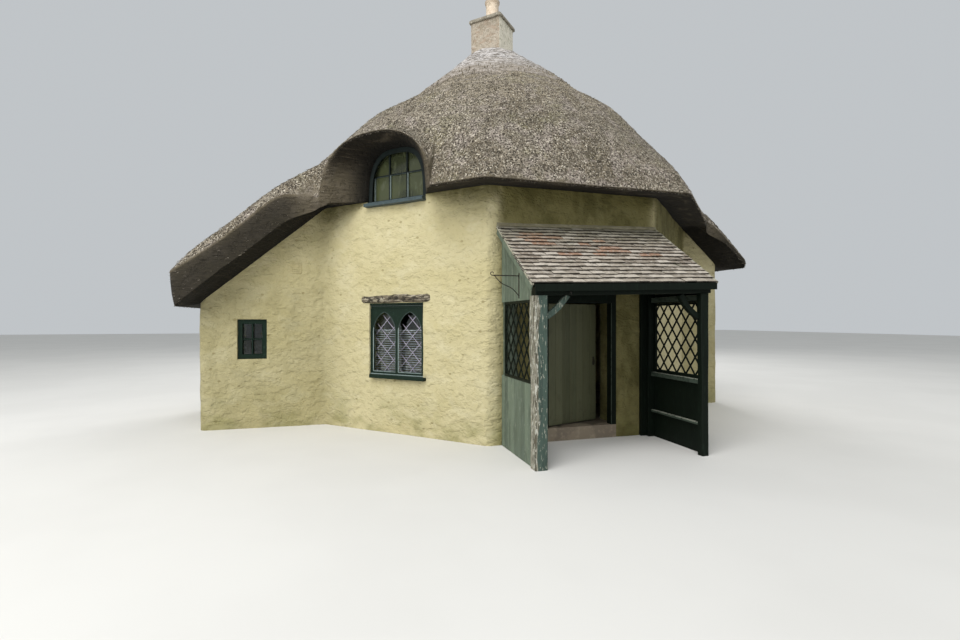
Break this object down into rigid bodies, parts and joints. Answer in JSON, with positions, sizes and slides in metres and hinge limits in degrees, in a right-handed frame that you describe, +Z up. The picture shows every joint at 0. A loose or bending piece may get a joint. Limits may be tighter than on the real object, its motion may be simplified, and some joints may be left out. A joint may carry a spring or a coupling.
{
  "type": "thatched cottage",
  "caption": "A small cob cottage with canted walls, low wings, a conical thatch round a central chimney, eyebrow dormers and a tiled lattice porch with an opening front door.",
  "frame": {"origin": "on the ground under the middle of the eight-sided body, on the underside of the ground floor", "axes": "+Z up, -Y out of the porch wall, +X to the right as seen from the porch side, along the two wings"},
  "size_m": [9.97, 8.26, 8.0056],
  "materials": {
    "cob": "lime-washed cob, rough and hand trowelled",
    "thatch": "weathered water reed thatch",
    "painted_timber": "sawn softwood with flaking grey-green paint",
    "painted_frame": "joinery with dark green gloss paint",
    "glass": "old window glass",
    "chimney_masonry": "limewashed render over masonry",
    "clay": "buff fired clay",
    "roof_tile": "small plain clay tiles with lichen",
    "door_paint": "boards with khaki paint",
    "oak": "weathered oak",
    "stone_floor": "worn stone flags"
  },
  "bodies": {
    "house": {"wall_door_left": "cob", "wall_door_right": "cob", "wall_door_over": "cob", "wall_window_front": "cob", "wall_right": "cob", "wall_window_back": "cob", "wall_back": "cob", "wall_back_left": "cob", "wing_left_front": "cob", "wing_left_end": "cob", "wing_left_back": "cob", "wing_right_front": "cob", "wing_right_end": "cob", "wing_right_back": "cob", "ground_floor": "stone_floor", "door_sill": "stone_floor", "upper_floor": "oak", "window_front_lintel": "oak", "window_back_lintel": "oak", "chimney_stack": "chimney_masonry", "chimney_cap": "chimney_masonry", "chimney_pot": "clay", "thatch_wing_left": "thatch", "thatch_window_front": "thatch", "thatch_front": "thatch", "thatch_wing_right": "thatch", "thatch_window_back": "thatch", "thatch_back": "thatch", "thatch_collar": "thatch", "window_front_frame": "painted_frame", "window_back_frame": "painted_frame", "dormer_front_frame": "painted_frame", "dormer_back_frame": "painted_frame", "window_wing_frame": "painted_frame", "door_frame": "painted_frame", "porch_lattice_left": "painted_frame", "porch_lattice_right": "painted_frame", "window_front_glass": "glass", "window_back_glass": "glass", "dormer_front_glass": "glass", "dormer_back_glass": "glass", "window_wing_glass": "glass", "porch_roof": "roof_tile", "porch_beam": "painted_timber", "porch_post_left": "painted_timber", "porch_post_right": "painted_timber", "porch_cheek_left": "painted_timber", "porch_cheek_right": "painted_timber"},
    "door_leaf": {"front_door": "door_paint"}
  },
  "joints": [
    {"name": "front_door_hinge", "type": "hinge", "parent": "house", "child": "door_leaf", "pos_m": [-0.414, -3.155, 1], "axis": [0, 0, 1], "range_deg": [-18, 70]}
  ]
}
